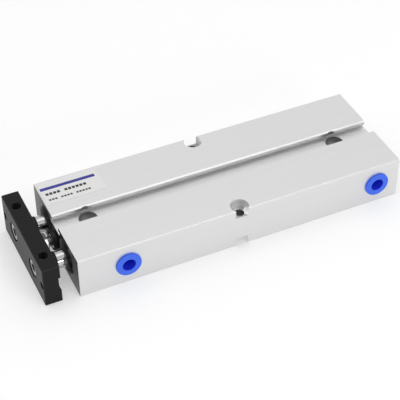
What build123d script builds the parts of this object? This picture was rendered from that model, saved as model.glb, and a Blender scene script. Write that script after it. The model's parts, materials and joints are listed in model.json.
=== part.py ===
from build123d import *
import os
from math import sqrt

# Twin rod pneumatic cylinder, millimetres.
# +X runs from the end plate to the back of the body, +Z is up.
# The origin is the middle of the side mounting holes, on the bottom face.

# Extruded body
stroke = 100.0
rear_chamber_length = 5.0
body_width = 56.0
body_height = 21.0
body_edge_chamfer = 0.2
bore_dia = 16.0
bore_pitch = 25.0
mouth_chamfer = 0.6

# Sensor slot along the top
slot_mouth = 8.0
slot_undercut = 11.0
slot_lip = 2.2
slot_depth = 3.8
slot_edge_chamfer = 0.6

# Mounting holes through the body
screw_drill = 4.4
screw_counterbore = 8.6
side_hole_setback = 78.0
side_hole_inset = 3.0
side_counterbore_depth = 4.3
centre_hole_front_setback = 15.5
centre_hole_rear_setback = 18.5
centre_counterbore_depth = 3.2

# Air ports on the near side, and the passage from bore to bore behind each
port_drill = 8.6
port_chamfer = 0.5
front_port_clearance = 1.7
rear_port_clearance = 0.5
passage_dia = 4.0

# Retaining rings
ring_setback = 1.6
ring_thickness = 1.0
ring_groove_width = 1.1
ring_groove_depth = 0.4
ring_band = 1.45
ring_eccentricity = 0.4
ring_lug_dia = 2.8
ring_lug_hole = 1.2
ring_lug_spread = 5.8
ring_lug_reach = 2.15

# Front covers, which guide and seal the rods
cover_fit = 0.05
front_cover_length = 14.3
nose_length = 9.8
nose_dia = 12.4
nose_slot_width = 2.0
nose_slot_depth = 1.4
cover_lip_length = 1.0
cover_lip_clearance = 0.3
rod_seal_length = 3.6
rod_seal_dia = 12.0
rod_seal_lip = 1.1
rod_seal_notch = 1.4
bush_length = 14.0
bush_wall = 1.0
cover_face_chamfer = 0.4

# O-rings in the outside of the covers
oring_section = 1.3
oring_groove_width = 1.9
front_oring_setback = 8.0

# Rear covers
rear_cover_length = 4.0
rear_cover_recess_dia = 9.0
rear_cover_recess_depth = 0.9

# Rods, each with a spigot for its piston
rod_dia = 8.0
spigot_dia = 5.0
rod_end_chamfer = 0.5
rod_tap_depth = 13.0
running_gap = 0.03
seal_gap = 0.04
seat_gap = 0.02
stop_gap = 0.1

# Pistons
piston_fit = 0.15
cushion_length = 1.5
cushion_dia = 13.6
piston_front_length = 7.5
piston_rear_length = 5.0
piston_seal_inset = 1.0
piston_seal_width = 2.3
piston_seal_depth = 1.75
wear_ring_inset = 4.1
wear_ring_width = 2.6
wear_ring_depth = 0.6
magnet_length = 3.0
magnet_dia = 14.8
nut_across_flats = 8.0
nut_thickness = 2.7
nut_corner_chamfer = 0.35
spigot_overhang = 0.7

# End plate
plate_gap = 7.7
plate_thickness = 8.0
plate_side_margin = 1.0
plate_edge_margin = 0.2
plate_edge_chamfer = 0.3
plate_boss_dia = 8.5
plate_boss_length = 2.7
plate_top_hole_pitch = 35.0
plate_top_hole_drill = 4.2
plate_top_hole_depth = 6.5
plate_end_hole_inset = 2.5
plate_end_hole_drill = 3.3
plate_tap_countersink = 0.45
plate_relief_dia = 8.6
plate_relief_depth = 1.0

# Screws that hold the rods to the end plate
plate_screw_dia = 5.0
plate_screw_length = 16.0
plate_screw_head_dia = 8.5
plate_screw_head_height = 5.0
plate_screw_socket = 4.0
plate_screw_socket_depth = 2.6
plate_screw_clearance = 0.2
plate_counterbore_dia = 9.0
plate_counterbore_depth = 5.4

# Adjustable stop between the rods
stop_screw_dia = 5.0
stop_screw_engagement = 5.5
stop_hole_depth = 6.2
stop_nut_thickness = 3.0
stop_thread_length = 2.2
stop_head_dia = 6.6
stop_head_thickness = 1.0
pad_dia = 9.0
pad_edge_fillet = 0.6
pad_dimple_dia = 3.0
pad_dimple_depth = 0.8

# Push-in plugs that keep the ports clean
plug_flange_dia = 11.9
plug_flange_thickness = 0.9
plug_flange_fillet = 0.3
plug_length = 6.0
plug_wall = 1.15
plug_floor = 0.8
plug_tip_chamfer = 0.5
plug_fit = 0.05

# Label on the far half of the top
label_length = 28.4
label_width = 15.8
label_thickness = 0.12
label_corner_radius = 0.6
label_front_inset = 0.8
label_side_inset = 0.9

# Places worked out from the sizes above
axis_z = body_height / 2
near_y = -bore_pitch / 2
far_y = bore_pitch / 2
bore_r = bore_dia / 2
rod_r = rod_dia / 2
slot_floor_z = body_height - slot_depth
near_face_y = -body_width / 2
side_hole_pitch = body_width - 2 * side_hole_inset
sides = {"near": near_y, "far": far_y}

# Along each bore, from the front: ring, cover, nose, then the piston drawn in, its nut and the rear cover
cover_r = bore_r - cover_fit
ring_groove_r = bore_r + ring_groove_depth
front_x = -side_hole_setback
front_cover_x = front_x + ring_setback + ring_groove_width
nose_x = front_cover_x + front_cover_length
nose_end_x = nose_x + nose_length
cushion_x = nose_end_x + stop_gap + stroke
piston_x = cushion_x + cushion_length
magnet_x = piston_x + piston_front_length
piston_rear_x = magnet_x + magnet_length
nut_x = piston_rear_x + piston_rear_length
spigot_end_x = nut_x + nut_thickness + spigot_overhang
rear_cover_x = spigot_end_x + rear_chamber_length
rear_cover_end_x = rear_cover_x + rear_cover_length
rear_x = rear_cover_end_x + ring_groove_width + ring_setback
body_length = rear_x - front_x

front_port_x = nose_x + front_port_clearance + port_drill / 2
rear_port_x = rear_cover_x - rear_port_clearance - port_drill / 2
centre_hole_pitch = body_length - centre_hole_front_setback - centre_hole_rear_setback
centre_holes_x = front_x + centre_hole_front_setback + centre_hole_pitch / 2

plate_back_x = front_x - plate_gap
plate_front_x = plate_back_x - plate_thickness
plate_width = body_width - 2 * plate_side_margin
plate_height = body_height - 2 * plate_edge_margin
plate_end_hole_pitch = plate_width - 2 * plate_end_hole_inset
rod_front_x = plate_back_x + plate_boss_length

os.makedirs("parts", exist_ok=True)


def axial_plane(y):
    # Plane through a bore's axis, with the sketch's x along the bore and its y outwards
    return Plane(origin=(0, y, axis_z), x_dir=(1, 0, 0), z_dir=(0, -1, 0))


def cross_plane(x, y):
    # Plane square to a bore at x, centred on the bore
    return Plane(origin=(x, y, axis_z), x_dir=(0, 1, 0), z_dir=(1, 0, 0))


def bore_axis(y):
    return Axis((0, y, axis_z), (1, 0, 0))


def band(x_start, x_end, r_inner, r_outer, mode=Mode.ADD):
    # One step of a turned profile
    with Locations(((x_start + x_end) / 2, (r_inner + r_outer) / 2)):
        Rectangle(x_end - x_start, r_outer - r_inner, mode=mode)


def keep(piece, name):
    piece.part.label = name
    export_step(piece.part, f"parts/{name}.step")


# Body: the extrusion, its bores, slot, mounting holes and ports

with BuildPart() as cylinder_body:
    with BuildSketch(Plane.YZ.offset(front_x)) as body_section:
        Rectangle(body_width, body_height, align=(Align.CENTER, Align.MIN))
        chamfer(body_section.vertices(), length=body_edge_chamfer)
        with Locations((0, slot_floor_z)):
            Rectangle(
                slot_undercut,
                slot_depth - slot_lip,
                align=(Align.CENTER, Align.MIN),
                mode=Mode.SUBTRACT,
            )
            Rectangle(slot_mouth, slot_depth, align=(Align.CENTER, Align.MIN), mode=Mode.SUBTRACT)
        mouth_corners = body_section.vertices().filter_by(
            lambda v: abs(abs(v.X) - slot_mouth / 2) < 1e-6 and abs(v.Y - body_height) < 1e-6
        )
        chamfer(mouth_corners, length=slot_edge_chamfer)
    extrude(amount=body_length)

    # Bores, with a lead-in at each mouth and a groove for each retaining ring
    for bore_y in (near_y, far_y):
        with BuildSketch(axial_plane(bore_y)):
            band(front_x, rear_x, 0, bore_r)
            band(front_x + ring_setback, front_cover_x, 0, ring_groove_r)
            band(rear_cover_end_x, rear_x - ring_setback, 0, ring_groove_r)
            with BuildLine():
                Polyline(
                    (front_x, 0),
                    (front_x, bore_r + mouth_chamfer),
                    (front_x + mouth_chamfer, bore_r),
                    (front_x + mouth_chamfer, 0),
                    close=True,
                )
            make_face()
            with BuildLine():
                Polyline(
                    (rear_x, 0),
                    (rear_x, bore_r + mouth_chamfer),
                    (rear_x - mouth_chamfer, bore_r),
                    (rear_x - mouth_chamfer, 0),
                    close=True,
                )
            make_face()
        revolve(axis=bore_axis(bore_y), mode=Mode.SUBTRACT)

    # Side holes, counterbored from both faces so that the heads break out of the sides
    with Locations((0, 0, body_height)):
        with GridLocations(1, side_hole_pitch, 1, 2):
            CounterBoreHole(screw_drill / 2, screw_counterbore / 2, side_counterbore_depth)
    with BuildSketch(Plane.XY):
        with GridLocations(1, side_hole_pitch, 1, 2):
            Circle(screw_counterbore / 2)
    extrude(amount=side_counterbore_depth, mode=Mode.SUBTRACT)

    # Holes on the centre line, sunk through the floor of the slot
    with BuildSketch(Plane.XY):
        with Locations((centre_holes_x, 0)):
            with GridLocations(centre_hole_pitch, 1, 2, 1):
                Circle(screw_drill / 2)
    extrude(amount=body_height, mode=Mode.SUBTRACT)
    with BuildSketch(Plane.XY.offset(slot_floor_z - centre_counterbore_depth)):
        with Locations((centre_holes_x, 0)):
            with GridLocations(centre_hole_pitch, 1, 2, 1):
                Circle(screw_counterbore / 2)
    extrude(amount=body_height, mode=Mode.SUBTRACT)
    with BuildSketch(Plane.XY):
        with Locations((centre_holes_x, 0)):
            with GridLocations(centre_hole_pitch, 1, 2, 1):
                Circle(screw_counterbore / 2)
    extrude(amount=side_counterbore_depth, mode=Mode.SUBTRACT)

    # Ports, each drilled into the near bore, with a passage on to the far bore
    for port_x in (front_port_x, rear_port_x):
        with BuildSketch(Plane(origin=(port_x, near_face_y, axis_z), x_dir=(1, 0, 0), z_dir=(0, 1, 0))):
            Circle(port_drill / 2)
        extrude(amount=near_y - near_face_y, mode=Mode.SUBTRACT)
        with BuildSketch(Plane(origin=(port_x, near_y, axis_z), x_dir=(1, 0, 0), z_dir=(0, 1, 0))):
            Circle(passage_dia / 2)
        extrude(amount=bore_pitch, mode=Mode.SUBTRACT)
    port_mouths = (
        cylinder_body.edges()
        .filter_by(GeomType.CIRCLE)
        .filter_by(lambda e: abs(e.center().Y - near_face_y) < 1e-6)
        .filter_by(lambda e: abs(e.radius - port_drill / 2) < 1e-6)
    )
    chamfer(port_mouths, length=port_chamfer)
keep(cylinder_body, "cylinder_body")


# Front covers

def front_cover(y):
    with BuildPart() as cover:
        with BuildSketch(axial_plane(y)):
            bush_r = rod_r + running_gap + bush_wall
            band(front_cover_x, nose_x, 0, cover_r)
            band(nose_x, nose_end_x, 0, nose_dia / 2)
            band(front_cover_x, nose_end_x, 0, rod_r + cover_lip_clearance, mode=Mode.SUBTRACT)
            seal_x = front_cover_x + cover_lip_length
            band(seal_x, seal_x + rod_seal_length, 0, rod_seal_dia / 2, mode=Mode.SUBTRACT)
            band(seal_x + rod_seal_length, nose_end_x, 0, bush_r, mode=Mode.SUBTRACT)
            groove_x = front_cover_x + front_oring_setback
            groove_r = bore_r - oring_section
            band(groove_x, groove_x + oring_groove_width, groove_r, bore_r, mode=Mode.SUBTRACT)
        revolve(axis=bore_axis(y))
        front_rim = cover.edges().filter_by(GeomType.CIRCLE).group_by(Axis.X)[0].sort_by(SortBy.RADIUS)[-1]
        chamfer(front_rim, length=cover_face_chamfer)
        # Slots across the nose let the air past when the piston rests on it
        with BuildSketch(cross_plane(nose_end_x, y)):
            Rectangle(nose_dia, nose_slot_width)
            Rectangle(nose_slot_width, nose_dia)
        extrude(amount=-nose_slot_depth, mode=Mode.SUBTRACT)
    return cover


def rod_bush(y):
    bush_x = front_cover_x + cover_lip_length + rod_seal_length
    with BuildPart() as bush:
        with BuildSketch(axial_plane(y)):
            r_inner = rod_r + running_gap
            band(bush_x + seat_gap, bush_x + bush_length, r_inner, r_inner + bush_wall - seat_gap)
        revolve(axis=bore_axis(y))
    return bush


def rod_seal(y):
    # A ring with two lips that face the air side, and a notch between them
    seal_x = front_cover_x + cover_lip_length + seat_gap
    seal_end_x = seal_x + rod_seal_length - 2 * seat_gap
    r_inner = rod_r + seal_gap
    r_outer = rod_seal_dia / 2 - seat_gap
    r_middle = (r_inner + r_outer) / 2
    with BuildPart() as seal:
        with BuildSketch(axial_plane(y)):
            with BuildLine():
                Polyline(
                    (seal_x, r_inner),
                    (seal_x, r_outer),
                    (seal_end_x, r_outer),
                    (seal_end_x, r_outer - rod_seal_lip / 2),
                    (seal_end_x - rod_seal_notch, r_middle),
                    (seal_end_x, r_inner + rod_seal_lip / 2),
                    (seal_end_x, r_inner),
                    close=True,
                )
            make_face()
        revolve(axis=bore_axis(y))
    return seal


def cover_oring(groove_x, y):
    with BuildPart() as oring:
        with BuildSketch(axial_plane(y)):
            with Locations((groove_x + oring_groove_width / 2, bore_r - oring_section / 2)):
                Circle(oring_section / 2 - seat_gap)
        revolve(axis=bore_axis(y))
    return oring


def retaining_ring(x, y):
    outer_r = ring_groove_r - seat_gap
    inner_r = outer_r - ring_band
    lug_y = -outer_r + ring_lug_reach
    with BuildPart() as ring:
        with BuildSketch(cross_plane(x, y)):
            Circle(outer_r)
            with Locations((0, -ring_eccentricity)):
                Circle(inner_r, mode=Mode.SUBTRACT)
            with Locations((0, -outer_r)):
                Rectangle(ring_lug_spread, 2 * ring_lug_reach, mode=Mode.SUBTRACT)
            with Locations((-ring_lug_spread / 2, lug_y), (ring_lug_spread / 2, lug_y)):
                Circle(ring_lug_dia / 2)
                Circle(ring_lug_hole / 2, mode=Mode.SUBTRACT)
        extrude(amount=ring_thickness)
    return ring


def rear_cover(y):
    with BuildPart() as cover:
        with BuildSketch(axial_plane(y)):
            band(rear_cover_x, rear_cover_end_x, 0, cover_r)
            groove_x = rear_cover_x + (rear_cover_length - oring_groove_width) / 2
            band(groove_x, groove_x + oring_groove_width, bore_r - oring_section, bore_r, mode=Mode.SUBTRACT)
            band(
                rear_cover_end_x - rear_cover_recess_depth,
                rear_cover_end_x,
                0,
                rear_cover_recess_dia / 2,
                mode=Mode.SUBTRACT,
            )
        revolve(axis=bore_axis(y))
        rear_rim = cover.edges().filter_by(GeomType.CIRCLE).group_by(Axis.X)[-1].sort_by(SortBy.RADIUS)[-1]
        chamfer(rear_rim, length=cover_face_chamfer)
    return cover


ring_slack = (ring_groove_width - ring_thickness) / 2
for side, bore_y in sides.items():
    keep(front_cover(bore_y), f"front_cover_{side}")
    keep(rod_bush(bore_y), f"rod_bush_{side}")
    keep(rod_seal(bore_y), f"rod_seal_{side}")
    keep(cover_oring(front_cover_x + front_oring_setback, bore_y), f"front_oring_{side}")
    keep(retaining_ring(front_x + ring_setback + ring_slack, bore_y), f"front_retaining_ring_{side}")
    keep(rear_cover(bore_y), f"rear_cover_{side}")
    rear_groove_x = rear_cover_x + (rear_cover_length - oring_groove_width) / 2
    keep(cover_oring(rear_groove_x, bore_y), f"rear_oring_{side}")
    keep(retaining_ring(rear_cover_end_x + ring_slack, bore_y), f"rear_retaining_ring_{side}")


# Rods and pistons

def piston_rod(y):
    with BuildPart() as rod:
        with BuildSketch(axial_plane(y)):
            band(rod_front_x, piston_x, 0, rod_r)
            band(piston_x, spigot_end_x, 0, spigot_dia / 2)
            band(
                rod_front_x,
                rod_front_x + rod_tap_depth,
                0,
                plate_screw_dia / 2 + seat_gap,
                mode=Mode.SUBTRACT,
            )
        revolve(axis=bore_axis(y))
        spigot_tip = rod.edges().filter_by(GeomType.CIRCLE).group_by(Axis.X)[-1]
        chamfer(spigot_tip, length=rod_end_chamfer)
    return rod


def piston_cushion(y):
    with BuildPart() as cushion:
        with BuildSketch(axial_plane(y)):
            band(cushion_x, piston_x, rod_r + seat_gap, cushion_dia / 2)
        revolve(axis=bore_axis(y))
    return cushion


def piston_front(y):
    piston_r = bore_r - piston_fit
    with BuildPart() as piston:
        with BuildSketch(axial_plane(y)):
            band(piston_x, magnet_x, spigot_dia / 2 + seat_gap, piston_r)
            seal_x = piston_x + piston_seal_inset
            band(seal_x, seal_x + piston_seal_width, piston_r - piston_seal_depth, bore_r, mode=Mode.SUBTRACT)
            wear_x = piston_x + wear_ring_inset
            band(wear_x, wear_x + wear_ring_width, piston_r - wear_ring_depth, bore_r, mode=Mode.SUBTRACT)
        revolve(axis=bore_axis(y))
    return piston


def piston_rear(y):
    piston_r = bore_r - piston_fit
    with BuildPart() as piston:
        with BuildSketch(axial_plane(y)):
            band(piston_rear_x, nut_x, spigot_dia / 2 + seat_gap, piston_r)
            seal_x = nut_x - piston_seal_inset - piston_seal_width
            band(seal_x, seal_x + piston_seal_width, piston_r - piston_seal_depth, bore_r, mode=Mode.SUBTRACT)
        revolve(axis=bore_axis(y))
    return piston


def lip_seal_outline(x_back, x_open):
    # Half section of a piston seal, from its flat back to its two lips
    r_inner = bore_r - piston_fit - piston_seal_depth + seat_gap
    r_outer = bore_r - seal_gap
    lip = (r_outer - r_inner) / 3
    return [
        (x_back, r_inner),
        (x_back, r_outer),
        (x_open, r_outer),
        (x_open, r_outer - lip),
        ((x_open + x_back) / 2, (r_inner + r_outer) / 2),
        (x_open, r_inner + lip),
        (x_open, r_inner),
    ]


def piston_seals(y):
    # One seal in each half of the piston, each open towards the air that it holds back
    front_x_open = piston_x + piston_seal_inset + seat_gap
    rear_x_open = nut_x - piston_seal_inset - seat_gap
    seal_length = piston_seal_width - 2 * seat_gap
    with BuildPart() as seals:
        with BuildSketch(axial_plane(y)):
            with BuildLine():
                Polyline(*lip_seal_outline(front_x_open + seal_length, front_x_open), close=True)
            make_face()
            with BuildLine():
                Polyline(*lip_seal_outline(rear_x_open - seal_length, rear_x_open), close=True)
            make_face()
        revolve(axis=bore_axis(y))
    return seals


def wear_ring(y):
    wear_x = piston_x + wear_ring_inset
    with BuildPart() as ring:
        with BuildSketch(axial_plane(y)):
            r_inner = bore_r - piston_fit - wear_ring_depth + seat_gap
            band(wear_x + seat_gap, wear_x + wear_ring_width - seat_gap, r_inner, bore_r - running_gap)
        revolve(axis=bore_axis(y))
    return ring


def magnet_ring(y):
    with BuildPart() as magnet:
        with BuildSketch(axial_plane(y)):
            band(magnet_x, piston_rear_x, spigot_dia / 2 + seat_gap, magnet_dia / 2)
        revolve(axis=bore_axis(y))
    return magnet


def thin_nut(x, y, thread_dia, thickness):
    # Hexagon nut with flats on top and bottom, and its corners turned off on both faces
    flat_r = nut_across_flats / 2
    corner_r = nut_across_flats / sqrt(3)
    with BuildPart() as nut:
        with BuildSketch(cross_plane(x, y)):
            RegularPolygon(corner_r, 6)
            Circle(thread_dia / 2 + seat_gap, mode=Mode.SUBTRACT)
        extrude(amount=thickness)
        with BuildSketch(axial_plane(y)):
            with BuildLine():
                Polyline(
                    (x, 0),
                    (x, flat_r),
                    (x + nut_corner_chamfer, corner_r),
                    (x + thickness - nut_corner_chamfer, corner_r),
                    (x + thickness, flat_r),
                    (x + thickness, 0),
                    close=True,
                )
            make_face()
        revolve(axis=bore_axis(y), mode=Mode.INTERSECT)
    return nut


for side, bore_y in sides.items():
    keep(piston_rod(bore_y), f"piston_rod_{side}")
    keep(piston_cushion(bore_y), f"piston_cushion_{side}")
    keep(piston_front(bore_y), f"piston_front_{side}")
    keep(magnet_ring(bore_y), f"magnet_ring_{side}")
    keep(piston_rear(bore_y), f"piston_rear_{side}")
    keep(piston_seals(bore_y), f"piston_seals_{side}")
    keep(wear_ring(bore_y), f"wear_ring_{side}")
    keep(thin_nut(nut_x, bore_y, spigot_dia, nut_thickness), f"piston_nut_{side}")


# End plate

with BuildPart() as end_plate:
    with BuildSketch(Plane.YZ.offset(plate_front_x)):
        with Locations((0, axis_z)):
            Rectangle(plate_width, plate_height)
    extrude(amount=plate_thickness)
    chamfer(end_plate.edges(), length=plate_edge_chamfer)
    # Low bosses on the back that the rods are drawn up against
    with BuildSketch(cross_plane(plate_back_x, 0)):
        with GridLocations(bore_pitch, 1, 2, 1):
            Circle(plate_boss_dia / 2)
    extrude(amount=plate_boss_length)
    # Counterbored holes for the rod screws, through the bosses
    with Locations(Plane(origin=(plate_front_x, 0, axis_z), x_dir=(0, 1, 0), z_dir=(-1, 0, 0))):
        with GridLocations(bore_pitch, 1, 2, 1):
            CounterBoreHole(
                plate_screw_dia / 2 + plate_screw_clearance / 2,
                plate_counterbore_dia / 2,
                plate_counterbore_depth,
            )
        # Tapped holes near the ends
        with GridLocations(plate_end_hole_pitch, 1, 2, 1):
            CounterSinkHole(
                plate_end_hole_drill / 2,
                plate_end_hole_drill / 2 + plate_tap_countersink,
                counter_sink_angle=90,
            )
    # Reliefs behind the end holes, open at the plate's ends
    with BuildSketch(cross_plane(plate_back_x, 0)):
        with GridLocations(plate_end_hole_pitch, 1, 2, 1):
            Circle(plate_relief_dia / 2)
    extrude(amount=-plate_relief_depth, mode=Mode.SUBTRACT)
    # Blind hole for the stop screw
    with BuildSketch(cross_plane(plate_back_x, 0)):
        Circle(stop_screw_dia / 2 + seat_gap)
    extrude(amount=-stop_hole_depth, mode=Mode.SUBTRACT)
    # Tapped holes in the top edge
    with Locations(((plate_front_x + plate_back_x) / 2, 0, axis_z + plate_height / 2)):
        with GridLocations(1, plate_top_hole_pitch, 1, 2):
            CounterSinkHole(
                plate_top_hole_drill / 2,
                plate_top_hole_drill / 2 + plate_tap_countersink,
                depth=plate_top_hole_depth,
                counter_sink_angle=90,
            )
keep(end_plate, "end_plate")


def plate_screw(y):
    seat_x = plate_front_x + plate_counterbore_depth
    head_x = seat_x - plate_screw_head_height
    with BuildPart() as screw:
        with BuildSketch(axial_plane(y)):
            band(head_x, seat_x, 0, plate_screw_head_dia / 2)
            band(seat_x, seat_x + plate_screw_length, 0, plate_screw_dia / 2)
        revolve(axis=bore_axis(y))
        head_rim = screw.edges().filter_by(GeomType.CIRCLE).group_by(Axis.X)[0]
        chamfer(head_rim, length=cover_face_chamfer)
        with BuildSketch(cross_plane(head_x, y)):
            RegularPolygon(plate_screw_socket / sqrt(3), 6)
        extrude(amount=plate_screw_socket_depth, mode=Mode.SUBTRACT)
    return screw


for side, bore_y in sides.items():
    keep(plate_screw(bore_y), f"plate_screw_{side}")


# Adjustable stop: a screw with a flat head, its lock nut, and the rubber pad around the head

pad_x = plate_back_x + stop_nut_thickness + seat_gap + stop_thread_length

with BuildPart() as stop_screw:
    with BuildSketch(axial_plane(0)):
        band(plate_back_x - stop_screw_engagement, pad_x, 0, stop_screw_dia / 2)
        band(pad_x, pad_x + stop_head_thickness, 0, stop_head_dia / 2)
    revolve(axis=bore_axis(0))
    screw_tip = stop_screw.edges().filter_by(GeomType.CIRCLE).group_by(Axis.X)[0]
    chamfer(screw_tip, length=rod_end_chamfer)
keep(stop_screw, "stop_screw")

keep(thin_nut(plate_back_x + seat_gap, 0, stop_screw_dia, stop_nut_thickness), "stop_lock_nut")

with BuildPart() as stop_pad:
    with BuildSketch(cross_plane(pad_x, 0)):
        Circle(pad_dia / 2)
    extrude(amount=front_x - stop_gap - pad_x)
    pad_face = stop_pad.faces().sort_by(Axis.X)[-1]
    fillet(pad_face.edges(), radius=pad_edge_fillet)
    with BuildSketch(cross_plane(pad_x, 0)):
        Circle(stop_head_dia / 2 + seat_gap)
    extrude(amount=stop_head_thickness + seat_gap, mode=Mode.SUBTRACT)
    with BuildSketch(cross_plane(front_x - stop_gap, 0)):
        Circle(pad_dimple_dia / 2)
    extrude(amount=-pad_dimple_depth, mode=Mode.SUBTRACT)
keep(stop_pad, "stop_pad")


# Port plugs

def port_plug(x):
    stem_r = port_drill / 2 - plug_fit
    flange_y = near_face_y - plug_flange_thickness
    with BuildPart() as plug:
        with BuildSketch(Plane(origin=(x, near_face_y, axis_z), x_dir=(1, 0, 0), z_dir=(0, 1, 0))):
            Circle(stem_r)
        extrude(amount=plug_length)
        tip = plug.faces().sort_by(Axis.Y)[-1]
        chamfer(tip.edges(), length=plug_tip_chamfer)
        with BuildSketch(Plane(origin=(x, flange_y, axis_z), x_dir=(1, 0, 0), z_dir=(0, 1, 0))):
            Circle(plug_flange_dia / 2)
        extrude(amount=plug_flange_thickness)
        flange_face = plug.faces().sort_by(Axis.Y)[0]
        fillet(flange_face.edges(), radius=plug_flange_fillet)
        with BuildSketch(Plane(origin=(x, flange_y, axis_z), x_dir=(1, 0, 0), z_dir=(0, 1, 0))):
            Circle(stem_r - plug_wall)
        extrude(amount=plug_flange_thickness + plug_length - plug_floor, mode=Mode.SUBTRACT)
    return plug


keep(port_plug(front_port_x), "front_port_plug")
keep(port_plug(rear_port_x), "rear_port_plug")


# Label: a thin sticker near the front corner of the top

with BuildPart() as label:
    with BuildSketch(Plane.XY.offset(body_height)):
        with Locations(
            (
                front_x + label_front_inset + label_length / 2,
                body_width / 2 - label_side_inset - label_width / 2,
            )
        ):
            RectangleRounded(label_length, label_width, label_corner_radius)
    extrude(amount=label_thickness)
keep(label, "label")
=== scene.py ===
import bpy
import bmesh
from math import radians, sin, cos, tau
from mathutils import Matrix, Vector
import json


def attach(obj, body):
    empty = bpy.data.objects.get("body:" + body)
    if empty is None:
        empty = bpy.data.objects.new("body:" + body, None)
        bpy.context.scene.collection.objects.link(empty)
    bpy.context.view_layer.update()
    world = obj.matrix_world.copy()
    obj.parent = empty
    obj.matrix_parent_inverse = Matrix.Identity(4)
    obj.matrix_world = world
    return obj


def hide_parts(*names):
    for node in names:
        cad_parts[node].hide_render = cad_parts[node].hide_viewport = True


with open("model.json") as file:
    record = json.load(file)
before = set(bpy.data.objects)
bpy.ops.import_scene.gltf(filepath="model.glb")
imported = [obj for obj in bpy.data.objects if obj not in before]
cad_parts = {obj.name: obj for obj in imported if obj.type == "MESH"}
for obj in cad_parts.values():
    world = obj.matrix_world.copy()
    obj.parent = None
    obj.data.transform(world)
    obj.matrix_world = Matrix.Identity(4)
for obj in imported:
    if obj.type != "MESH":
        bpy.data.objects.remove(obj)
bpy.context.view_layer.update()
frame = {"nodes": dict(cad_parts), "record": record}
nodes = frame["nodes"]
slotOf = {part["node"]: part["material_slot"] for part in frame["record"]["subparts"]}
bodyOf = {}
for bodyName, members in frame["record"]["behaviour"]["bodies"].items():
    for member in members:
        bodyOf[member] = bodyName
mm = 0.001

# Camera at the photo's angle, in metres and degrees
camera = {
    "place": (-0.193381, -0.404812, 0.401126),
    "azimuth": -24.6265,
    "elevation": 41.4936,
    "roll": -0.4385,
    "focalLength": 115.711,
    "sensorWidth": 36.0,
    "clip": (0.01, 20.0),
}


def addCamera():
    data = bpy.data.cameras.new("studioCamera")
    data.sensor_width = camera["sensorWidth"]
    data.lens = camera["focalLength"]
    data.clip_start, data.clip_end = camera["clip"]
    eye = bpy.data.objects.new("studioCamera", data)
    bpy.context.scene.collection.objects.link(eye)
    turn = Matrix.Rotation(radians(camera["azimuth"]), 4, "Z")
    tilt = Matrix.Rotation(radians(90.0 - camera["elevation"]), 4, "X")
    roll = Matrix.Rotation(radians(camera["roll"]), 4, "Z")
    eye.matrix_world = Matrix.Translation(camera["place"]) @ turn @ tilt @ roll
    bpy.context.scene.camera = eye


addCamera()
print("camera placed")


def grey(tone):
    return (tone, tone, tone, 1.0)


# Helpers for node trees. The dictionary given to a new node sets its inputs by name.
def addNode(tree, kind, values=None, **settings):
    node = tree.nodes.new(kind)
    for key, value in settings.items():
        setattr(node, key, value)
    for key, value in (values or {}).items():
        node.inputs[key].default_value = value
    return node


# Links a socket to an input, or sets the input where the source is a plain value
def wire(tree, source, target):
    if isinstance(source, bpy.types.NodeSocket):
        tree.links.new(source, target)
    else:
        target.default_value = source


def mathNode(tree, operation, *values):
    node = addNode(tree, "ShaderNodeMath", operation=operation)
    for value, socket in zip(values, node.inputs):
        wire(tree, value, socket)
    return node.outputs[0]


def vectorMath(tree, operation, *values):
    node = addNode(tree, "ShaderNodeVectorMath", operation=operation)
    for value, socket in zip(values, node.inputs):
        wire(tree, value, socket)
    return node.outputs["Value" if operation == "DOT_PRODUCT" else "Vector"]


def splitVector(tree, vector):
    node = addNode(tree, "ShaderNodeSeparateXYZ")
    wire(tree, vector, node.inputs[0])
    return node.outputs


def mapRange(tree, value, fromLow, fromHigh, toLow=0.0, toHigh=1.0):
    node = addNode(tree, "ShaderNodeMapRange",
                   {"From Min": fromLow, "From Max": fromHigh, "To Min": toLow, "To Max": toHigh})
    wire(tree, value, node.inputs["Value"])
    return node.outputs["Result"]


def objectPlace(tree):
    return addNode(tree, "ShaderNodeTexCoord").outputs["Object"]


# Noise over a piece's own coordinates, unless another place is given
def noise(tree, scale, values, place=None):
    node = addNode(tree, "ShaderNodeTexNoise", values)
    wire(tree, objectPlace(tree) if place is None else place, node.inputs["Vector"])
    wire(tree, scale, node.inputs["Scale"])
    return node.outputs["Fac"]


# A Mix node keeps its colours and its plain values in sockets of their own
def blendColours(tree, factor, first, second):
    mix = addNode(tree, "ShaderNodeMix", data_type="RGBA")
    wire(tree, factor, mix.inputs["Factor"])
    wire(tree, first, mix.inputs[6])
    wire(tree, second, mix.inputs[7])
    return mix.outputs[2]


def blendValues(tree, factor, first, second):
    mix = addNode(tree, "ShaderNodeMix", data_type="FLOAT")
    wire(tree, factor, mix.inputs["Factor"])
    wire(tree, first, mix.inputs[2])
    wire(tree, second, mix.inputs[3])
    return mix.outputs[0]


def bump(tree, height, distance, strength):
    node = addNode(tree, "ShaderNodeBump", {"Distance": distance, "Strength": strength})
    wire(tree, height, node.inputs["Height"])
    return node.outputs["Normal"]


def newMaterial(name, values):
    material = bpy.data.materials.new(name)
    material.use_nodes = True
    shader = material.node_tree.nodes["Principled BSDF"]
    for key, value in values.items():
        shader.inputs[key].default_value = value
    return material, material.node_tree, shader


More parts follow.
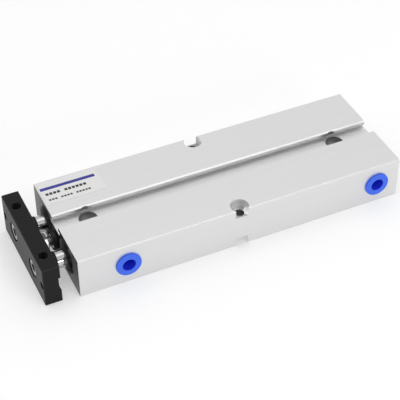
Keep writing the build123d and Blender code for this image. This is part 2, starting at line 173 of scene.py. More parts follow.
# Floor and soft studio light
studio = {
    # Wide enough that its far edge stays out of low views
    "floorSize": 30.0,
    "floorDrop": 0.00002,
    # A light table: its own glow keeps the shadows faint
    "floor": {
        "Base Color": grey(0.64),
        "Roughness": 0.9,
        "Specular IOR Level": 0.1,
        "Emission Color": grey(1.0),
        "Emission Strength": 0.38,
    },
    # Light from the room on the way from the near horizon at 0, over the top at 0.5, to the far horizon
    # at 1: soft panels, with two dim gaps between them on the near side
    "panels": [
        (0.00, 0.40), (0.19, 0.54), (0.215, 0.05), (0.29, 0.05), (0.32, 0.72),
        (0.44, 0.72), (0.452, 0.05), (0.482, 0.05), (0.494, 0.78), (1.00, 0.59),
    ],
    "panelStrength": 1.22,
    # How far to each side of straight up the near half turns into the far one
    "overhead": 0.1,
    "lamps": [
        # name, place, aim, size, watts
        ("overheadSoftbox", (0.0, 0.0, 1.60), (0.0, 0.0, 0.0), 1.60, 5.0),
        ("keySoftbox", (0.45, -0.95, 0.98), (0.0, 0.0, 0.0), 0.30, 2.3),
        ("lowSoftbox", (0.106, -0.943, 0.28), (-0.08, 0.0, 0.0), 0.22, 1.2),
    ],
}


def addFloor():
    mesh = bpy.data.meshes.new("studioFloor")
    half = studio["floorSize"] / 2
    corners = [(-half, -half, 0), (half, -half, 0), (half, half, 0), (-half, half, 0)]
    mesh.from_pydata(corners, [], [(0, 1, 2, 3)])
    floor = bpy.data.objects.new("studioFloor", mesh)
    bpy.context.scene.collection.objects.link(floor)
    floor.location.z = -studio["floorDrop"]
    mesh.materials.append(newMaterial("paleFloor", studio["floor"])[0])


def addRoomLight():
    world = bpy.data.worlds.new("studioWorld")
    world.use_nodes = True
    tree = world.node_tree
    look = splitVector(tree, addNode(tree, "ShaderNodeTexCoord").outputs["Generated"])
    side = mapRange(tree, look["Y"], -studio["overhead"], studio["overhead"], -0.5, 0.5)
    drop = mathNode(tree, "SUBTRACT", 1.0, look["Z"])
    way = mathNode(tree, "MULTIPLY_ADD", drop, side, 0.5)
    panels = addNode(tree, "ShaderNodeValToRGB")
    stops = panels.color_ramp.elements
    while len(stops) < len(studio["panels"]):
        stops.new(0.5)
    for stop, (place, tone) in zip(stops, studio["panels"]):
        stop.position = place
        stop.color = grey(tone)
    wire(tree, way, panels.inputs["Fac"])
    wire(tree, panels.outputs["Color"], tree.nodes["Background"].inputs["Color"])
    tree.nodes["Background"].inputs["Strength"].default_value = studio["panelStrength"]
    bpy.context.scene.world = world
    bpy.context.scene.view_settings.view_transform = "Standard"


def addLamps():
    for name, place, aim, size, watts in studio["lamps"]:
        data = bpy.data.lights.new(name, "AREA")
        data.shape = "SQUARE"
        data.size = size
        data.energy = watts
        lamp = bpy.data.objects.new(name, data)
        lamp.location = place
        away = Vector(place) - Vector(aim)
        lamp.rotation_euler = away.to_track_quat("Z", "Y").to_euler()
        bpy.context.scene.collection.objects.link(lamp)


addFloor()
addRoomLight()
addLamps()
print("studio ready")


# Shared effects. A group's inputs are given as name, kind and value, and its outputs are plain values.
def newGroup(name, inputs, outputs):
    group = bpy.data.node_groups.new(name, "ShaderNodeTree")
    for label, kind, value in inputs:
        socket = group.interface.new_socket(label, in_out="INPUT", socket_type=kind)
        socket.default_value = value
    for label in outputs:
        group.interface.new_socket(label, in_out="OUTPUT", socket_type="NodeSocketFloat")
    start = group.nodes.new("NodeGroupInput")
    end = group.nodes.new("NodeGroupOutput")
    return group, start.outputs, end.inputs


# A tone around one half, spread by the contrast
def spreadTone(tree, value, contrast):
    centred = mathNode(tree, "SUBTRACT", value, 0.5)
    return mathNode(tree, "ADD", mathNode(tree, "MULTIPLY", centred, contrast), 0.5)


# Lines of a finish, drawn out along one direction: fine ones over broad ones
brushPattern = {
    "fine": {"Detail": 3.0, "Roughness": 0.6},
    "fineShare": 0.6,
    "broad": {"Detail": 2.0},
    "broadShare": 0.4,
    "broadScale": 0.17,
}


def makeBrushLines():
    group, given, made = newGroup(
        "brushLines",
        [
            ("Stretch", "NodeSocketVector", (60.0, 4000.0, 4000.0)),
            ("Contrast", "NodeSocketFloat", 0.5),
        ],
        ["Tone", "Height"],
    )
    stretched = vectorMath(group, "MULTIPLY", objectPlace(group), given["Stretch"])
    widened = vectorMath(group, "MULTIPLY", stretched, (brushPattern["broadScale"],) * 3)
    fine = noise(group, 1.0, brushPattern["fine"], stretched)
    broad = noise(group, 1.0, brushPattern["broad"], widened)
    fine = mathNode(group, "MULTIPLY", fine, brushPattern["fineShare"])
    broad = mathNode(group, "MULTIPLY", broad, brushPattern["broadShare"])
    both = mathNode(group, "ADD", fine, broad)
    wire(group, spreadTone(group, both, given["Contrast"]), made["Tone"])
    wire(group, both, made["Height"])
    return group


# Even fine grain, such as blasting, etching or moulding texture
grainPattern = {"Detail": 4.0, "Roughness": 0.65}


def makeFineGrain():
    group, given, made = newGroup(
        "fineGrain",
        [("Size", "NodeSocketFloat", 5000.0), ("Contrast", "NodeSocketFloat", 0.5)],
        ["Tone", "Height"],
    )
    speck = noise(group, given["Size"], grainPattern)
    wire(group, spreadTone(group, speck, given["Contrast"]), made["Tone"])
    wire(group, speck, made["Height"])
    return group


# Slow patches of handling marks and dust
handlingPattern = {"noise": {"Detail": 5.0, "Distortion": 0.6}, "clear": 0.42, "full": 0.72}


def makeHandling():
    group, given, made = newGroup(
        "handlingMarks",
        [("Size", "NodeSocketFloat", 40.0), ("Cover", "NodeSocketFloat", 0.5)],
        ["Mask"],
    )
    patch = noise(group, given["Size"], handlingPattern["noise"])
    marked = mapRange(group, patch, handlingPattern["clear"], handlingPattern["full"])
    wire(group, mathNode(group, "MULTIPLY", marked, given["Cover"]), made["Mask"])
    return group


# Edges where the finish has thinned: the bevels, broken up by noise
wearPattern = {"noise": {"Detail": 3.0}, "clear": 0.35, "full": 0.62}


def makeEdgeWear():
    group, given, made = newGroup(
        "edgeWear",
        [("Amount", "NodeSocketFloat", 0.5), ("Size", "NodeSocketFloat", 900.0)],
        ["Mask"],
    )
    edge = addNode(group, "ShaderNodeAttribute", attribute_name="edgeMark")
    chip = noise(group, given["Size"], wearPattern["noise"])
    thinned = mapRange(group, chip, wearPattern["clear"], wearPattern["full"])
    broken = mathNode(group, "MULTIPLY", thinned, edge.outputs["Fac"])
    wire(group, mathNode(group, "MULTIPLY", broken, given["Amount"]), made["Mask"])
    return group


# 1 on faces inside holes and recesses, which take painted shade, and on open counterbores, which take painted
# light, 0 elsewhere
def makeHoleShadeAndLight():
    group, made = newGroup("holeShadeAndLight", [], ["Mask", "CounterboreLight"])[::2]
    for name, label in (("holeShadeMark", "Mask"), ("counterboreLightMark", "CounterboreLight")):
        mark = addNode(group, "ShaderNodeAttribute", attribute_name=name)
        wire(group, mark.outputs["Fac"], made[label])
    return group


# The sensor slot, by heights and by distances from its middle line, in millimetres:
# painted shade that rises down the walls of its lips, and painted light along the edges of its floor
slotShade = {
    "reach": 6.0,
    "bottom": 17.1,
    "lipInside": 3.9,
    "lipDark": (4.2, 4.1),
    "lipRise": (20.5, 19.4),
    "paintedLightNear": (2.0, 3.8),
    "paintedLightFar": (4.9, 4.5),
    "paintedLightTop": 17.4,
}


def makeSlotShadeAndLight():
    group, made = newGroup("slotShadeAndLight", [], ["Mask", "Lift"])[::2]
    place = splitVector(group, objectPlace(group))
    across = mathNode(group, "ABSOLUTE", place["Y"])

    # 0 at the first value of a pair and 1 at the second
    def fade(value, name):
        clear, full = slotShade[name]
        return mapRange(group, value, clear * mm, full * mm)

    inside = mathNode(group, "LESS_THAN", across, slotShade["reach"] * mm)
    deep = mathNode(group, "GREATER_THAN", place["Z"], slotShade["bottom"] * mm)
    inside = mathNode(group, "MULTIPLY", inside, deep)
    lip = mathNode(group, "MULTIPLY", fade(place["Z"], "lipRise"), fade(across, "lipDark"))
    wall = mathNode(group, "GREATER_THAN", across, slotShade["lipInside"] * mm)
    lip = mathNode(group, "MULTIPLY", lip, wall)
    edge = mathNode(group, "MULTIPLY", fade(across, "paintedLightNear"), fade(across, "paintedLightFar"))
    low = mathNode(group, "LESS_THAN", place["Z"], slotShade["paintedLightTop"] * mm)
    edge = mathNode(group, "MULTIPLY", edge, low)
    wire(group, mathNode(group, "MULTIPLY", inside, lip), made["Mask"])
    wire(group, mathNode(group, "MULTIPLY", inside, edge), made["Lift"])
    return group


# 1 on faces that look along one direction of the piece, 0 elsewhere
facingRange = {"clear": 0.80, "full": 0.92}


def makeFacing():
    group, given, made = newGroup("facing", [("Direction", "NodeSocketVector", (1.0, 0.0, 0.0))], ["Mask"])
    normal = addNode(group, "ShaderNodeTexCoord").outputs["Normal"]
    dot = vectorMath(group, "DOT_PRODUCT", normal, given["Direction"])
    wire(group, mapRange(group, dot, facingRange["clear"], facingRange["full"]), made["Mask"])
    return group


# 1 inside a flat printed rectangle, by its middle and half size in plan
def makePrintedBar():
    group, given, made = newGroup(
        "printedBar",
        [
            ("Middle", "NodeSocketVector", (0.0, 0.0, 0.0)),
            ("Half", "NodeSocketVector", (0.001, 0.001, 1.0)),
        ],
        ["Mask"],
    )
    shift = vectorMath(group, "SUBTRACT", objectPlace(group), given["Middle"])
    span = splitVector(group, vectorMath(group, "ABSOLUTE", shift))
    half = splitVector(group, given["Half"])
    inX = mathNode(group, "LESS_THAN", span["X"], half["X"])
    inY = mathNode(group, "LESS_THAN", span["Y"], half["Y"])
    wire(group, mathNode(group, "MULTIPLY", inX, inY), made["Mask"])
    return group


brushLines = makeBrushLines()
fineGrain = makeFineGrain()
handlingMarks = makeHandling()
edgeWear = makeEdgeWear()
holeShadeAndLight = makeHoleShadeAndLight()
slotShadeAndLight = makeSlotShadeAndLight()
facing = makeFacing()
printedBar = makePrintedBar()
print("shared effects ready")


def useGroup(tree, group, values=None):
    return addNode(tree, "ShaderNodeGroup", values, node_tree=group).outputs


# Satin anodised extrusion: lines along the length, sawn ends; painted shade on the end faces, in holes and
# down the slot's lips, and painted light in the open counterbores and along the slot floor's edges
def makeSilverAluminium():
    look = {
        "light": grey(0.80),
        "shade": grey(0.72),
        "bare": grey(0.84),
        # Painted shade on the end faces, more on the front end than on the rear
        "endShadeAndSawLines": grey(0.10),
        # Painted shade inside holes and recesses
        "holeShading": grey(0.43),
        # Painted light on the open counterbores and along the slot floor's edges
        "paintedLight": grey(0.98),
        # Painted shade down the walls of the slot's lips
        "slotShading": grey(0.60),
        "frontEndShade": 0.88,
        "rearEndShade": 0.45,
        "lines": {"Stretch": (25.0, 3500.0, 3500.0), "Contrast": 1.1},
        "sawLines": {"Stretch": (3500.0, 3500.0, 120.0), "Contrast": 1.4},
        "wear": {"Amount": 0.25, "Size": 700.0},
        "smudges": {"Size": 45.0, "Cover": 0.5},
        "rough": (0.42, 0.52),
        "smudgeRough": 0.08,
        "bump": (0.00002, 0.5),
    }
    material, tree, shader = newMaterial("silverAluminium", {"Metallic": 1.0})
    lines = useGroup(tree, brushLines, look["lines"])
    endShadeAndSawLines = useGroup(tree, brushLines, look["sawLines"])
    front = useGroup(tree, facing, {"Direction": (-1.0, 0.0, 0.0)})["Mask"]
    back = useGroup(tree, facing, {"Direction": (1.0, 0.0, 0.0)})["Mask"]
    holeShading = useGroup(tree, holeShadeAndLight)
    slotShading = useGroup(tree, slotShadeAndLight)
    wear = useGroup(tree, edgeWear, look["wear"])["Mask"]
    smudge = useGroup(tree, handlingMarks, look["smudges"])["Mask"]
    ends = mathNode(tree, "MAXIMUM", front, back)
    tone = blendValues(tree, ends, lines["Tone"], endShadeAndSawLines["Tone"])
    height = blendValues(tree, ends, lines["Height"], endShadeAndSawLines["Height"])
    frontShare = mathNode(tree, "MULTIPLY", front, look["frontEndShade"])
    rearShare = mathNode(tree, "MULTIPLY", back, look["rearEndShade"])
    endShadeShare = mathNode(tree, "MAXIMUM", frontShare, rearShare)
    colour = blendColours(tree, tone, look["shade"], look["light"])
    # Painted shade on the end faces
    colour = blendColours(tree, endShadeShare, colour, look["endShadeAndSawLines"])
    # Painted light on the open counterbores
    colour = blendColours(tree, holeShading["CounterboreLight"], colour, look["paintedLight"])
    # Painted light along the edges of the slot's floor
    colour = blendColours(tree, slotShading["Lift"], colour, look["paintedLight"])
    # Painted shade down the walls of the slot's lips
    colour = blendColours(tree, slotShading["Mask"], colour, look["slotShading"])
    # Painted shade inside holes and recesses
    colour = blendColours(tree, holeShading["Mask"], colour, look["holeShading"])
    colour = blendColours(tree, wear, colour, look["bare"])
    wire(tree, colour, shader.inputs["Base Color"])
    rough = blendValues(tree, tone, *look["rough"])
    rough = mathNode(tree, "ADD", rough, mathNode(tree, "MULTIPLY", smudge, look["smudgeRough"]))
    wire(tree, rough, shader.inputs["Roughness"])
    wire(tree, bump(tree, height, *look["bump"]), shader.inputs["Normal"])
    return material


# Black anodised plate, with its brushed front painted lighter: real brush lines under a painted sheen
def makeBlackAluminium():
    look = {
        "black": (0.0045, 0.0045, 0.005, 1.0),
        "faded": (0.009, 0.009, 0.0095, 1.0),
        # Painted sheen on the brushed front face, over its real brush lines
        "front": grey(0.068),
        "frontDark": grey(0.027),
        "bare": grey(0.30),
        # Black anodised threads, painted a touch darker than the plate as painted shade
        "tapped": grey(0.004),
        "shine": 0.17,
        "grain": {"Size": 2600.0, "Contrast": 0.7},
        "lines": {"Stretch": (3000.0, 90.0, 3000.0), "Contrast": 1.8},
        "wear": {"Amount": 0.2, "Size": 900.0},
        "rough": (0.42, 0.58),
        "tappedRough": 0.14,
        "bump": (0.00002, 0.5),
    }
    material, tree, shader = newMaterial("blackAluminium", {"Specular IOR Level": look["shine"]})
    grain = useGroup(tree, fineGrain, look["grain"])
    lines = useGroup(tree, brushLines, look["lines"])
    front = useGroup(tree, facing, {"Direction": (-1.0, 0.0, 0.0)})["Mask"]
    wear = useGroup(tree, edgeWear, look["wear"])["Mask"]
    holeShading = useGroup(tree, holeShadeAndLight)["Mask"]
    colour = blendColours(tree, grain["Tone"], look["black"], look["faded"])
    brushedSheen = blendColours(tree, lines["Tone"], look["frontDark"], look["front"])
    colour = blendColours(tree, front, colour, brushedSheen)
    colour = blendColours(tree, wear, colour, look["bare"])
    # Painted shade in the threaded holes
    colour = blendColours(tree, holeShading, colour, look["tapped"])
    wire(tree, colour, shader.inputs["Base Color"])
    rough = blendValues(tree, grain["Tone"], *look["rough"])
    rough = blendValues(tree, holeShading, rough, look["tappedRough"])
    wire(tree, rough, shader.inputs["Roughness"])
    height = blendValues(tree, front, grain["Height"], lines["Height"])
    wire(tree, bump(tree, height, *look["bump"]), shader.inputs["Normal"])
    return material


# Turned and stamped metals share one recipe, and differ in tones, roughness and the way of their lines
turnedMetals = {
    "bare_aluminium": {
        "name": "bareAluminium",
        "light": (0.80, 0.80, 0.81, 1),
        "shade": (0.62, 0.62, 0.64, 1),
        "worn": (0.92, 0.92, 0.93, 1),
        "wear": 0.4,
        "rough": (0.26, 0.42),
        "lines": (3500.0, 60.0, 60.0),
        "bump": 0.00001,
    },
    "chrome_rod": {
        "name": "chromeRod",
        "light": (0.60, 0.60, 0.61, 1),
        "shade": (0.46, 0.46, 0.47, 1),
        "worn": (0.95, 0.95, 0.95, 1),
        "wear": 0.2,
        "rough": (0.03, 0.09),
        "lines": (2500.0, 90.0, 90.0),
        "bump": 0.000004,
    },
    "zinc_steel": {
        "name": "zincSteel",
        "light": (0.66, 0.67, 0.69, 1),
        "shade": (0.46, 0.47, 0.49, 1),
        "worn": (0.85, 0.85, 0.86, 1),
        "wear": 0.4,
        "rough": (0.22, 0.38),
        "lines": (2500.0, 300.0, 300.0),
        "bump": 0.00001,
    },
    "spring_steel": {
        "name": "springSteel",
        "light": (0.16, 0.16, 0.165, 1),
        "shade": (0.09, 0.09, 0.095, 1),
        "worn": (0.45, 0.45, 0.46, 1),
        "wear": 0.5,
        "rough": (0.34, 0.5),
        "lines": (500.0, 1200.0, 1200.0),
        "bump": 0.00001,
    },
    "bronze": {
        "name": "bronze",
        "light": (0.62, 0.42, 0.20, 1),
        "shade": (0.42, 0.27, 0.12, 1),
        "worn": (0.75, 0.55, 0.3, 1),
        "wear": 0.3,
        "rough": (0.34, 0.52),
        "lines": (2500.0, 200.0, 200.0),
        "bump": 0.00001,
    },
}
# What the turned metals have in common; holes in them are painted with this share of the darker tone, as
# painted shade
turnedFinish = {"contrast": 1.2, "wearSize": 1200.0, "holeShadeShare": 0.3, "bumpStrength": 0.4}


def makeTurnedMetal(look):
    material, tree, shader = newMaterial(look["name"], {"Metallic": 1.0})
    lines = useGroup(tree, brushLines, {"Stretch": look["lines"], "Contrast": turnedFinish["contrast"]})
    wear = useGroup(tree, edgeWear, {"Amount": look["wear"], "Size": turnedFinish["wearSize"]})["Mask"]
    holeShading = useGroup(tree, holeShadeAndLight)["Mask"]
    # Painted shade in holes, sockets and threads
    hole = tuple(turnedFinish["holeShadeShare"] * tone for tone in look["shade"][:3]) + (1.0,)
    colour = blendColours(tree, lines["Tone"], look["shade"], look["light"])
    colour = blendColours(tree, wear, colour, look["worn"])
    colour = blendColours(tree, holeShading, colour, hole)
    wire(tree, colour, shader.inputs["Base Color"])
    wire(tree, blendValues(tree, lines["Tone"], *look["rough"]), shader.inputs["Roughness"])
    normal = bump(tree, lines["Height"], look["bump"], turnedFinish["bumpStrength"])
    wire(tree, normal, shader.inputs["Normal"])
    return material


def makeRubber():
    look = {
        "black": grey(0.010),
        "bloom": grey(0.026),
        "shine": 0.35,
        "grain": {"Size": 3200.0, "Contrast": 1.0},
        "bloomMarks": {"Size": 300.0, "Cover": 0.8},
        "rough": (0.55, 0.75),
        "bump": (0.00003, 0.5),
    }
    material, tree, shader = newMaterial("blackRubber", {"Specular IOR Level": look["shine"]})
    grain = useGroup(tree, fineGrain, look["grain"])
    bloom = useGroup(tree, handlingMarks, look["bloomMarks"])["Mask"]
    wire(tree, blendColours(tree, bloom, look["black"], look["bloom"]), shader.inputs["Base Color"])
    wire(tree, blendValues(tree, grain["Tone"], *look["rough"]), shader.inputs["Roughness"])
    wire(tree, bump(tree, grain["Height"], *look["bump"]), shader.inputs["Normal"])
    return material


# The push-in plugs, with painted shade deep in the hollow
def makeBluePlastic():
    look = {
        "blue": (0.028, 0.140, 0.88, 1.0),
        "deep": (0.022, 0.112, 0.82, 1.0),
        "scuff": (0.09, 0.26, 0.90, 1.0),
        # Painted shade deep in the hollow
        "hollowShade": (0.022, 0.046, 0.76, 1.0),
        "shine": 0.5,
        "grain": {"Size": 1800.0, "Contrast": 0.9},
        "wear": {"Amount": 0.3, "Size": 1500.0},
        "rough": (0.28, 0.42),
        "bump": (0.00002, 0.35),
    }
    material, tree, shader = newMaterial("bluePlastic", {"Specular IOR Level": look["shine"]})
    grain = useGroup(tree, fineGrain, look["grain"])
    wear = useGroup(tree, edgeWear, look["wear"])["Mask"]
    holeShading = useGroup(tree, holeShadeAndLight)["Mask"]
    colour = blendColours(tree, grain["Tone"], look["deep"], look["blue"])
    colour = blendColours(tree, wear, colour, look["scuff"])
    colour = blendColours(tree, holeShading, colour, look["hollowShade"])
    wire(tree, colour, shader.inputs["Base Color"])
    wire(tree, blendValues(tree, grain["Tone"], *look["rough"]), shader.inputs["Roughness"])
    wire(tree, bump(tree, grain["Height"], *look["bump"]), shader.inputs["Normal"])
    return material


# Plain moulded pieces inside: the magnets and the wear rings
mouldings = {
    "magnet": {
        "name": "bondedFerrite",
        "light": (0.09, 0.085, 0.085, 1),
        "shade": (0.05, 0.048, 0.048, 1),
        "grain": {"Size": 2600.0, "Contrast": 1.2},
        "rough": (0.5, 0.62),
        "bump": (0.00002, 0.4),
    },
    "wear_ring_plastic": {
        "name": "wearRingPlastic",
        "light": (0.84, 0.81, 0.73, 1),
        "shade": (0.72, 0.69, 0.61, 1),
        "grain": {"Size": 1800.0, "Contrast": 1.2},
        "rough": (0.4, 0.52),
        "bump": (0.00002, 0.4),
    },
}


def makeMoulding(look):
    material, tree, shader = newMaterial(look["name"], {})
    grain = useGroup(tree, fineGrain, look["grain"])
    wire(tree, blendColours(tree, grain["Tone"], look["shade"], look["light"]), shader.inputs["Base Color"])
    wire(tree, blendValues(tree, grain["Tone"], *look["rough"]), shader.inputs["Roughness"])
    wire(tree, bump(tree, grain["Height"], *look["bump"]), shader.inputs["Normal"])
    return material


# Printed film: one blue bar with two rows of plain dashes under it, placed in millimetres
labelPrint = {
    "film": (0.79, 0.785, 0.78, 1.0),
    "filmShade": (0.74, 0.735, 0.73, 1.0),
    "barColour": (0.030, 0.030, 0.28, 1.0),
    "inkColour": (0.03, 0.03, 0.035, 1.0),
    # middle x and y, half length, half height
    "bar": (-63.8, 22.2, 13.1, 0.95),
    # row start, row middle, dash half length, dash half height, pitch, dashes drawn
    "rows": [
        (-75.6, 18.3, 0.70, 0.80, 1.80, (0, 1, 2, 3, 5, 6, 7, 8, 9, 10)),
        (-75.4, 14.3, 0.54, 0.55, 1.45, (0, 1, 2, 4, 5, 6, 7, 9, 10, 11, 12, 13)),
    ],
    "shine": 0.4,
    "grain": {"Size": 2500.0, "Contrast": 1.0},
    "rough": (0.32, 0.45),
    "bump": (0.00001, 0.3),
}


def makeLabelFilm():
    look = labelPrint
    material, tree, shader = newMaterial("labelFilm", {"Specular IOR Level": look["shine"]})
    grain = useGroup(tree, fineGrain, look["grain"])

    def printed(x, y, halfX, halfY):
        place = {"Middle": (x * mm, y * mm, 0.0), "Half": (halfX * mm, halfY * mm, 1.0)}
        return useGroup(tree, printedBar, place)["Mask"]

    colour = blendColours(tree, grain["Tone"], look["filmShade"], look["film"])
    colour = blendColours(tree, printed(*look["bar"]), colour, look["barColour"])
    ink = 0.0
    for startX, rowY, dashX, dashY, pitch, drawn in look["rows"]:
        for step in drawn:
            dash = printed(startX + dashX + step * pitch, rowY, dashX, dashY)
            ink = mathNode(tree, "MAXIMUM", ink, dash)
    colour = blendColours(tree, ink, colour, look["inkColour"])
    wire(tree, colour, shader.inputs["Base Color"])
    wire(tree, blendValues(tree, grain["Tone"], *look["rough"]), shader.inputs["Roughness"])
    wire(tree, bump(tree, grain["Height"], *look["bump"]), shader.inputs["Normal"])
    return material


materials = {
    "silver_aluminium": makeSilverAluminium(),
    "black_aluminium": makeBlackAluminium(),
    "black_rubber": makeRubber(),
    "blue_plastic": makeBluePlastic(),
    "label_film": makeLabelFilm(),
}
for slotName, look in turnedMetals.items():
    materials[slotName] = makeTurnedMetal(look)
for slotName, look in mouldings.items():
    materials[slotName] = makeMoulding(look)
print("materials ready")


# Each CAD node is copied, and its flat faces joined up again: distance in millimetres, angle in degrees
cleaning = {"mergeWithin": 0.001, "flatWithin": 0.6}


def cleanMesh(node):
    work = bmesh.new()
    work.from_mesh(nodes[node].data)
    bmesh.ops.remove_doubles(work, verts=work.verts, dist=cleaning["mergeWithin"] * mm)
    bmesh.ops.dissolve_limit(work, angle_limit=radians(cleaning["flatWithin"]), use_dissolve_boundaries=False,
                             verts=work.verts, edges=work.edges)
    return work


def faceLayer(work, name):
    layers = work.faces.layers.float
    return layers.get(name) or layers.new(name)


def sharpEdges(work, angle):
    return [e for e in work.edges if len(e.link_faces) == 2 and e.calc_face_angle(0.0) > radians(angle)]


# Bevels the sharp edges by a width in millimetres and marks what it makes.
# The rest is smooth up to the crease angle.
bevelling = {"sharpAbove": 28.0, "segments": 2, "profile": 0.5}


def soften(work, width, crease):
    mark = faceLayer(work, "edgeMark")
    edges = sharpEdges(work, bevelling["sharpAbove"])
    if edges:
        made = bmesh.ops.bevel(work, geom=edges, offset=width * mm, offset_type="OFFSET",
                               segments=bevelling["segments"], profile=bevelling["profile"],
                               affect="EDGES", clamp_overlap=True)
        for face in made["faces"]:
            face[mark] = 1.0
    for face in work.faces:
        face.smooth = True
    for edge in sharpEdges(work, crease):
        edge.smooth = False


# How far a point lies along an axis from a mouth in millimetres, and its offset square to the axis
def alongAndOff(point, mouth, axis):
    offset = point - Vector(mouth) * mm
    depth = offset.dot(axis)
    return depth, offset - axis * depth


# In millimetres: marks start below the mouth, and rings are found above it and this close to their radius
finding = {"below": 0.05, "above": 0.01, "ring": 0.02}


# Marks the faces that lie inside a hole, below its mouth, for painted shade
def markHoleShade(work, mouth, axis, radius, depth):
    mark = faceLayer(work, "holeShadeMark")
    for face in work.faces:
        along, off = alongAndOff(face.calc_center_median(), mouth, axis)
        if finding["below"] * mm < along < depth * mm and off.length < radius * mm:
            face[mark] = 1.0


# Marks the faces of a counterbore that breaks out through a side, down to its floor, for painted light
def markCounterboreLight(work, mouth, axis, radius):
    mark = faceLayer(work, "counterboreLightMark")
    for face in work.faces:
        if all(alongAndOff(vert.co, mouth, axis)[1].length < radius * mm for vert in face.verts):
            face[mark] = 1.0


# Moves a ring of vertices round an axis from one radius to another
def resizeRing(work, mouth, axis, fromR, toR, depth):
    for vert in work.verts:
        along, off = alongAndOff(vert.co, mouth, axis)
        reached = -finding["above"] * mm < along < depth * mm
        if reached and abs(off.length - fromR * mm) < finding["ring"] * mm:
            vert.co += off * (toR * mm / off.length - 1.0)


# Ridge of a right-hand thread: half widths of its foot and crest as shares of the pitch, how deep the feet
# are buried, the angle above which its edges stay sharp, steps in a turn, and the least depth of a face
ridge = {"foot": 0.44, "crest": 0.125, "buried": 0.02, "sharpAbove": 30.0, "around": 36, "thinnest": 0.00001}


# Winds a ridge round an axis, from one depth to another. Inside a hole the crest is nearer the axis than
# the wall, and a countersink cuts it back.
def windThread(work, mouth, axis, wallR, crestR, pitch, start, finish, sinkR=0.0):
    mark = faceLayer(work, "holeShadeMark")
    inside = crestR < wallR
    foot, crest = ridge["foot"], ridge["crest"]
    footR = wallR + (ridge["buried"] if inside else -ridge["buried"])
    profile = ((-foot, footR), (-crest, crestR), (crest, crestR), (foot, footR))
    side = axis.orthogonal().normalized()
    up = axis.cross(side)
    steps = int(ridge["around"] * (finish - start + pitch) / pitch)
    rows = []
    made = []
    for step in range(steps + 1):
        angle = tau * step / ridge["around"]
        out = side * cos(angle) + up * sin(angle)
        middle = start + pitch * (step / ridge["around"] - 0.5)
        row = []
        for share, radius in profile:
            depth = min(max(middle + share * pitch, start), finish)
            if inside:
                radius = max(radius, sinkR - depth)
            row.append(work.verts.new((Vector(mouth) + axis * depth + out * radius) * mm))
        rows.append(row)
    for first, second in zip(rows, rows[1:]):
        for place in range(len(profile) - 1):
            corners = [first[place], second[place], second[place + 1], first[place + 1]]
            depths = [alongAndOff(corner.co, mouth, axis)[0] for corner in corners]
            if max(depths) - min(depths) < ridge["thinnest"] * mm:
                continue
            face = work.faces.new(corners[::-1] if inside else corners)
            face.smooth = True
            # Thread faces take the painted shade of holes
            face[mark] = 1.0
            made.append(face)
    work.normal_update()
    for face in made:
        for edge in face.edges:
            edge.smooth = edge.calc_face_angle(0.0) < radians(ridge["sharpAbove"])
    bmesh.ops.delete(work, geom=[v for row in rows for v in row if not v.link_faces], context="VERTS")


# One dictionary for each piece, in millimetres, for what it has beyond plain soft edges:
#   edge     width of its soft edges
#   crease   angle above which its faces keep a crease
#   drilled  faces painted darker as painted shade, inside holes and on the nut's top facet: mouth, axis into
#   the piece, radius, depth
#   paintedLight  open counterbores, painted bright as painted light: mouth, axis, radius
#   tapped   threaded holes: mouth, axis, thread
#   shaft    the thread on the piece's own shaft, if it has one
down, backward, inward = Vector((0, 0, -1)), Vector((1, 0, 0)), Vector((0, 1, 0))
plainPiece = {"edge": 0.08, "crease": 40.0, "drilled": [], "paintedLight": [], "tapped": [], "shaft": None}
# The thread's ridge starts this far below the mouth, and its wall is cut this much deeper than the ridge
threadCut = {"start": 0.05, "past": 3.0}

# Radii of the drilled wall, of the thread and of the countersink, pitch and depth
m4Thread = {"drill": 1.65, "outer": 2.0, "pitch": 0.7, "depth": 7.0, "sink": 2.1}
m5Thread = {"drill": 2.1, "outer": 2.5, "pitch": 0.8, "depth": 6.5, "sink": 2.55}
portThread = {
    "drill": 4.3,
    "outer": 4.864,
    "pitch": 0.907,
    "depth": 7.2,
    "sink": 5.1,
    # The mouth is made wide enough for the thread: from and to radius, depth
    "mouth": (4.8, 5.1, 0.1),
}

endPlate = {
    "edge": 0.10,
    "tapped": [
        ((-89.7, 17.5, 20.8), down, m5Thread),
        ((-89.7, -17.5, 20.8), down, m5Thread),
        ((-93.7, 24.5, 10.5), backward, m4Thread),
        ((-93.7, -24.5, 10.5), backward, m4Thread),
    ],
}
frontPort, rearPort = (-55.0, -28.0, 10.5), (69.5, -28.0, 10.5)
cylinderBody = {
    "edge": 0.05,
    # Low, because holes cut the slot at shallow angles
    "crease": 14.0,
    "drilled": [
        ((0.0, 25.0, 21.0), down, 2.25, 21.1),
        ((0.0, -25.0, 21.0), down, 2.25, 21.1),
        ((62.5, 0.0, 21.0), down, 4.35, 21.1),
        ((-62.5, 0.0, 21.0), down, 4.35, 21.1),
        ((-78.0, 12.5, 10.5), backward, 8.4, 159.1),
        ((-78.0, -12.5, 10.5), backward, 8.4, 159.1),
        (frontPort, inward, 5.1, 16.0),
        (rearPort, inward, 5.1, 16.0),
    ],
    "paintedLight": [((0.0, 25.0, 21.0), down, 4.4), ((0.0, -25.0, 21.0), down, 4.4)],
    "tapped": [(frontPort, inward, portThread), (rearPort, inward, portThread)],
}
frontPlug = {"edge": 0.12, "drilled": [((-55.0, -28.9, 10.5), inward, 3.2, 6.5)]}
rearPlug = {"edge": 0.12, "drilled": [((69.5, -28.9, 10.5), inward, 3.2, 6.5)]}
nearPlateScrew = {"drilled": [((-93.3, -12.5, 10.5), backward, 2.3, 3.0)]}
farPlateScrew = {"drilled": [((-93.3, 12.5, 10.5), backward, 2.3, 3.0)]}
label = {"edge": 0.03}
stopPad = {"edge": 0.15}
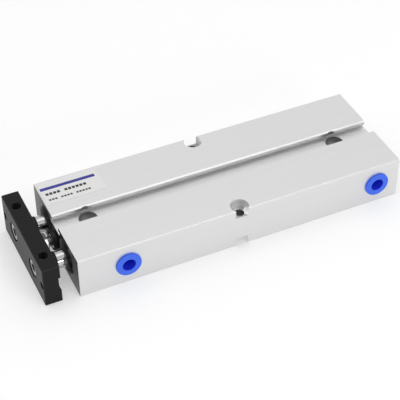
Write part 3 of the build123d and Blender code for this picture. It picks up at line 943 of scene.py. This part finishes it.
# The top facet of the nut is painted darker, as painted shade
stopLockNut = {"edge": 0.12, "drilled": [((-90.0, 0.0, 13.8), backward, 2.4, 12.0)]}
stopScrew = {
    "edge": 0.12,
    "shaft": {
        "tip": (-91.2, 0.0, 10.5),
        "length": 10.73,
        "outer": 2.5,
        "core": 2.05,
        "pitch": 0.8,
        "runIn": 0.4,
    },
}
pieces = {
    "end_plate": endPlate,
    "cylinder_body": cylinderBody,
    "front_port_plug": frontPlug,
    "rear_port_plug": rearPlug,
    "plate_screw_near": nearPlateScrew,
    "plate_screw_far": farPlateScrew,
    "label": label,
    "stop_pad": stopPad,
    "stop_lock_nut": stopLockNut,
    "stop_screw": stopScrew,
}


def dressPiece(node):
    piece = {**plainPiece, **pieces.get(node, {})}
    shaft = piece["shaft"]
    work = cleanMesh(node)
    for mouth, axis, thread in piece["tapped"]:
        wallDepth = thread["depth"] + threadCut["past"]
        resizeRing(work, mouth, axis, thread["drill"], thread["outer"], wallDepth)
        if "mouth" in thread:
            resizeRing(work, mouth, axis, *thread["mouth"])
    if shaft:
        resizeRing(work, shaft["tip"], backward, shaft["outer"], shaft["core"], shaft["length"])
    soften(work, piece["edge"], piece["crease"])
    for hole in piece["paintedLight"]:
        markCounterboreLight(work, *hole)
    for hole in piece["drilled"]:
        markHoleShade(work, *hole)
    for mouth, axis, thread in piece["tapped"]:
        windThread(work, mouth, axis, thread["outer"], thread["drill"], thread["pitch"],
                   threadCut["start"], thread["depth"], thread["sink"])
    if shaft:
        windThread(work, shaft["tip"], backward, shaft["core"], shaft["outer"], shaft["pitch"],
                   shaft["runIn"], shaft["length"])
    return work


# Each finished piece takes its CAD node's place, material and body
def finishPiece(node, work):
    mesh = bpy.data.meshes.new(node + "_finished")
    work.to_mesh(mesh)
    work.free()
    piece = bpy.data.objects.new(node + "_finished", mesh)
    bpy.context.scene.collection.objects.link(piece)
    mesh.materials.append(materials[slotOf[node]])
    even = piece.modifiers.new("evenNormals", "WEIGHTED_NORMAL")
    even.keep_sharp = True
    even.weight = 60
    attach(piece, bodyOf[node])
    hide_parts(node)


for node in nodes:
    finishPiece(node, dressPiece(node))
print("pieces dressed")
